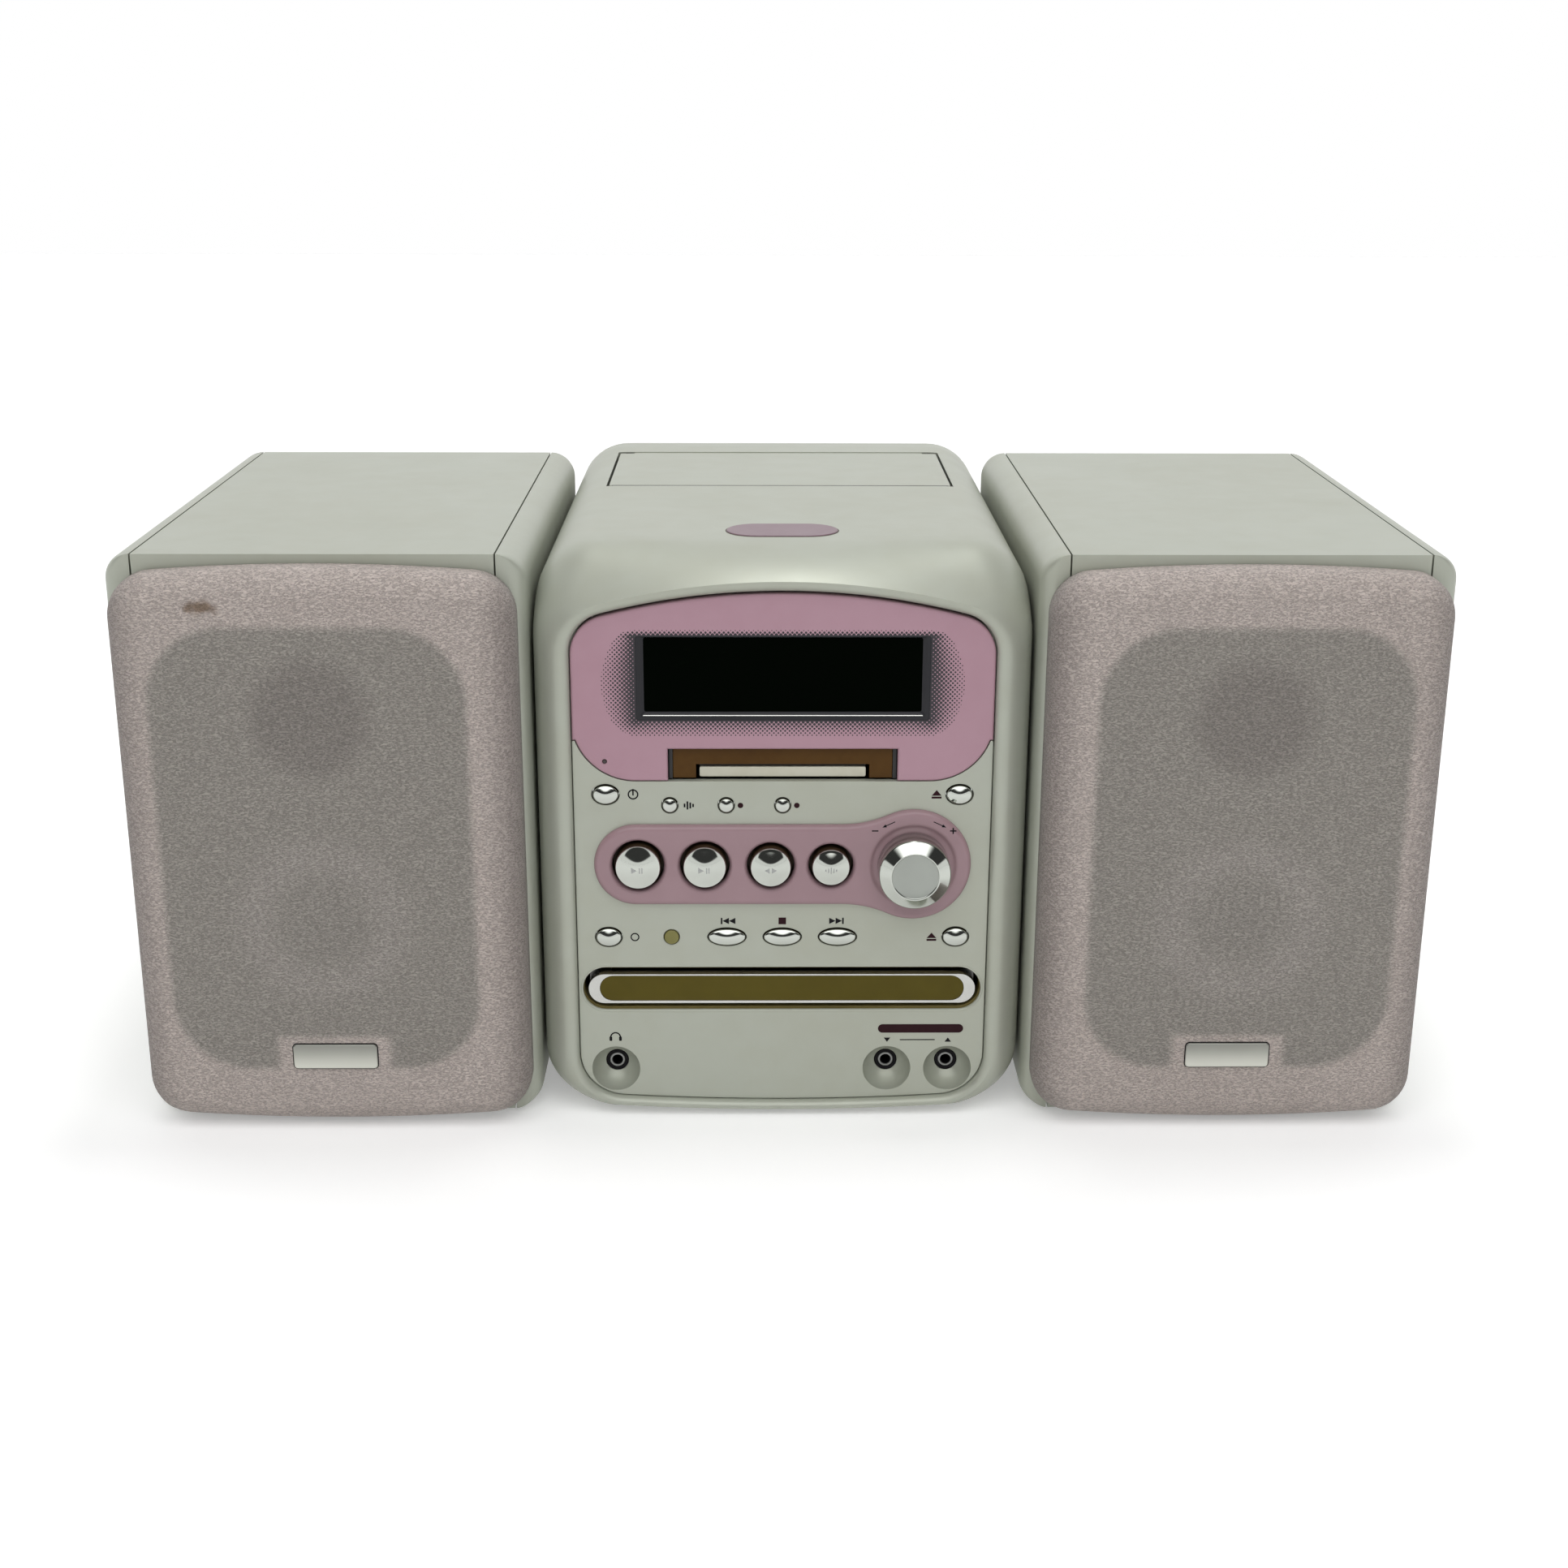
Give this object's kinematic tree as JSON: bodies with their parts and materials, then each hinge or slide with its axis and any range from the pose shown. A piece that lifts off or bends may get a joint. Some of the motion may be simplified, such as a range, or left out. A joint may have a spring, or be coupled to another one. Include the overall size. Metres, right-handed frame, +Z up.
{
  "type": "mini hi-fi system",
  "caption": "Compact stereo system: main unit with disc drawer, cartridge slot, cassette lid, push buttons and volume knob, between matching speakers with cloth grilles.",
  "frame": {"origin": "middle of the footprint of the whole set, on the floor", "axes": "+X to the viewer's right, +Y to the back, +Z up"},
  "size_m": [0.464, 0.253, 0.2104],
  "materials": {
    "pearl": "satin pearl champagne paint",
    "pink": "gloss translucent pink",
    "chrome": "polished plating",
    "silver": "satin silver",
    "olive": "gloss smoked olive",
    "amber": "smoked amber",
    "cream": "matte cream",
    "display": "black display glass",
    "lamp": "red lens",
    "black_plastic": "matte black",
    "paper": "coated paper cone",
    "steel": "plated and painted steel",
    "board": "circuit board",
    "rubber": "matte rubber",
    "cloth": "knitted acoustic cloth"
  },
  "bodies": {
    "system": {"outer_shell": "pearl", "front_panel": "pearl", "display_window": "pink", "display_module": "display", "control_plate": "pink", "volume_encoder": "black_plastic", "remote_sensor": "olive", "standby_lamp": "lamp", "disc_deck": "steel", "slot_deck": "black_plastic", "cassette_deck": "black_plastic", "touch_pad": "pink", "jacks": "black_plastic", "control_board": "board", "main_board": "board", "transformer": "steel", "base_plate": "steel", "rear_panel": "steel", "mains_inlet": "black_plastic", "speaker_terminals": "black_plastic", "feet": "rubber", "screws": "steel", "left_cabinet": "pearl", "left_side_panels": "pearl", "left_grille_frame": "black_plastic", "left_grille_cloth": "cloth", "right_cabinet": "pearl", "right_side_panels": "pearl", "right_grille_frame": "black_plastic", "right_grille_cloth": "cloth", "woofer_frames": "steel", "tweeters": "black_plastic", "badges": "chrome"},
    "source_button_1": {"source_button_1": "chrome"},
    "source_button_2": {"source_button_2": "chrome"},
    "source_button_3": {"source_button_3": "chrome"},
    "source_button_4": {"source_button_4": "chrome"},
    "power_button": {"power_button": "chrome"},
    "slot_eject_button": {"slot_eject_button": "chrome"},
    "display_button": {"display_button": "chrome"},
    "tray_eject_button": {"tray_eject_button": "chrome"},
    "round_button_1": {"round_button_1": "chrome"},
    "round_button_2": {"round_button_2": "chrome"},
    "round_button_3": {"round_button_3": "chrome"},
    "previous_button": {"previous_button": "chrome"},
    "stop_button": {"stop_button": "chrome"},
    "next_button": {"next_button": "chrome"},
    "knob": {"volume_knob": "silver"},
    "slot_door": {"slot_cover": "amber", "slot_flap": "cream"},
    "drawer": {"tray_front": "silver", "tray_insert": "olive", "disc_tray": "black_plastic"},
    "pinion": {"loading_pinion": "cream"},
    "turntable_rotor": {"turntable": "black_plastic"},
    "lid": {"cassette_lid": "pearl"},
    "left_spindle": {"left_reel_spindle": "cream"},
    "right_spindle": {"right_reel_spindle": "cream"},
    "left_cone": {"left_woofer_cone": "paper"},
    "right_cone": {"right_woofer_cone": "paper"}
  },
  "joints": [
    {"name": "source_button_1_press", "type": "slide", "parent": "system", "child": "source_button_1", "axis": [0, 1, 0], "range_m": [0, 0.0012], "stiffness_N_per_m": 400},
    {"name": "source_button_2_press", "type": "slide", "parent": "system", "child": "source_button_2", "axis": [0, 1, 0], "range_m": [0, 0.0012], "stiffness_N_per_m": 400},
    {"name": "source_button_3_press", "type": "slide", "parent": "system", "child": "source_button_3", "axis": [0, 1, 0], "range_m": [0, 0.0012], "stiffness_N_per_m": 400},
    {"name": "source_button_4_press", "type": "slide", "parent": "system", "child": "source_button_4", "axis": [0, 1, 0], "range_m": [0, 0.0012], "stiffness_N_per_m": 400},
    {"name": "power_button_press", "type": "slide", "parent": "system", "child": "power_button", "axis": [0, 1, 0], "range_m": [0, 0.0012], "stiffness_N_per_m": 400},
    {"name": "slot_eject_button_press", "type": "slide", "parent": "system", "child": "slot_eject_button", "axis": [0, 1, 0], "range_m": [0, 0.0012], "stiffness_N_per_m": 400},
    {"name": "display_button_press", "type": "slide", "parent": "system", "child": "display_button", "axis": [0, 1, 0], "range_m": [0, 0.0012], "stiffness_N_per_m": 400},
    {"name": "tray_eject_button_press", "type": "slide", "parent": "system", "child": "tray_eject_button", "axis": [0, 1, 0], "range_m": [0, 0.0012], "stiffness_N_per_m": 400},
    {"name": "round_button_1_press", "type": "slide", "parent": "system", "child": "round_button_1", "axis": [0, 1, 0], "range_m": [0, 0.0012], "stiffness_N_per_m": 400},
    {"name": "round_button_2_press", "type": "slide", "parent": "system", "child": "round_button_2", "axis": [0, 1, 0], "range_m": [0, 0.0012], "stiffness_N_per_m": 400},
    {"name": "round_button_3_press", "type": "slide", "parent": "system", "child": "round_button_3", "axis": [0, 1, 0], "range_m": [0, 0.0012], "stiffness_N_per_m": 400},
    {"name": "previous_button_press", "type": "slide", "parent": "system", "child": "previous_button", "axis": [0, 1, 0], "range_m": [0, 0.0012], "stiffness_N_per_m": 400},
    {"name": "stop_button_press", "type": "slide", "parent": "system", "child": "stop_button", "axis": [0, 1, 0], "range_m": [0, 0.0012], "stiffness_N_per_m": 400},
    {"name": "next_button_press", "type": "slide", "parent": "system", "child": "next_button", "axis": [0, 1, 0], "range_m": [0, 0.0012], "stiffness_N_per_m": 400},
    {"name": "knob_turn", "type": "hinge", "parent": "system", "child": "knob", "pos_m": [0.0465, -0.1175, 0.098], "axis": [0, -1, 0], "continuous": true},
    {"name": "slot_door_swing", "type": "hinge", "parent": "system", "child": "slot_door", "pos_m": [0, -0.1075, 0.1394], "axis": [1, 0, 0], "range_deg": [0, 70], "stiffness_Nm_per_rad": 0.01},
    {"name": "drawer_slide", "type": "slide", "parent": "system", "child": "drawer", "axis": [0, -1, 0], "range_m": [0, 0.125]},
    {"name": "pinion_spin", "type": "hinge", "parent": "system", "child": "pinion", "pos_m": [-0.042, -0.0905, 0.044], "axis": [0, 0, 1], "range_deg": [0, 896]},
    {"name": "turntable_spin", "type": "hinge", "parent": "system", "child": "turntable_rotor", "pos_m": [0, -0.0335, 0.04], "axis": [0, 0, 1], "continuous": true},
    {"name": "lid_hinge", "type": "hinge", "parent": "system", "child": "lid", "pos_m": [0, 0.0987, 0.2075], "axis": [-1, 0, 0], "range_deg": [0, 60]},
    {"name": "left_spindle_spin", "type": "hinge", "parent": "system", "child": "left_spindle", "pos_m": [-0.02125, 0.06, 0.192], "axis": [0, 0, 1], "continuous": true},
    {"name": "right_spindle_spin", "type": "hinge", "parent": "system", "child": "right_spindle", "pos_m": [0.02125, 0.06, 0.192], "axis": [0, 0, 1], "continuous": true},
    {"name": "left_cone_move", "type": "slide", "parent": "system", "child": "left_cone", "axis": [0, -1, 0], "range_m": [-0.002, 0.002], "stiffness_N_per_m": 1500},
    {"name": "right_cone_move", "type": "slide", "parent": "system", "child": "right_cone", "axis": [0, -1, 0], "range_m": [-0.002, 0.002], "stiffness_N_per_m": 1500}
  ],
  "couplings": [
    {"joint": "pinion_spin", "follows": "drawer_slide", "rad_per_m": 125}
  ]
}
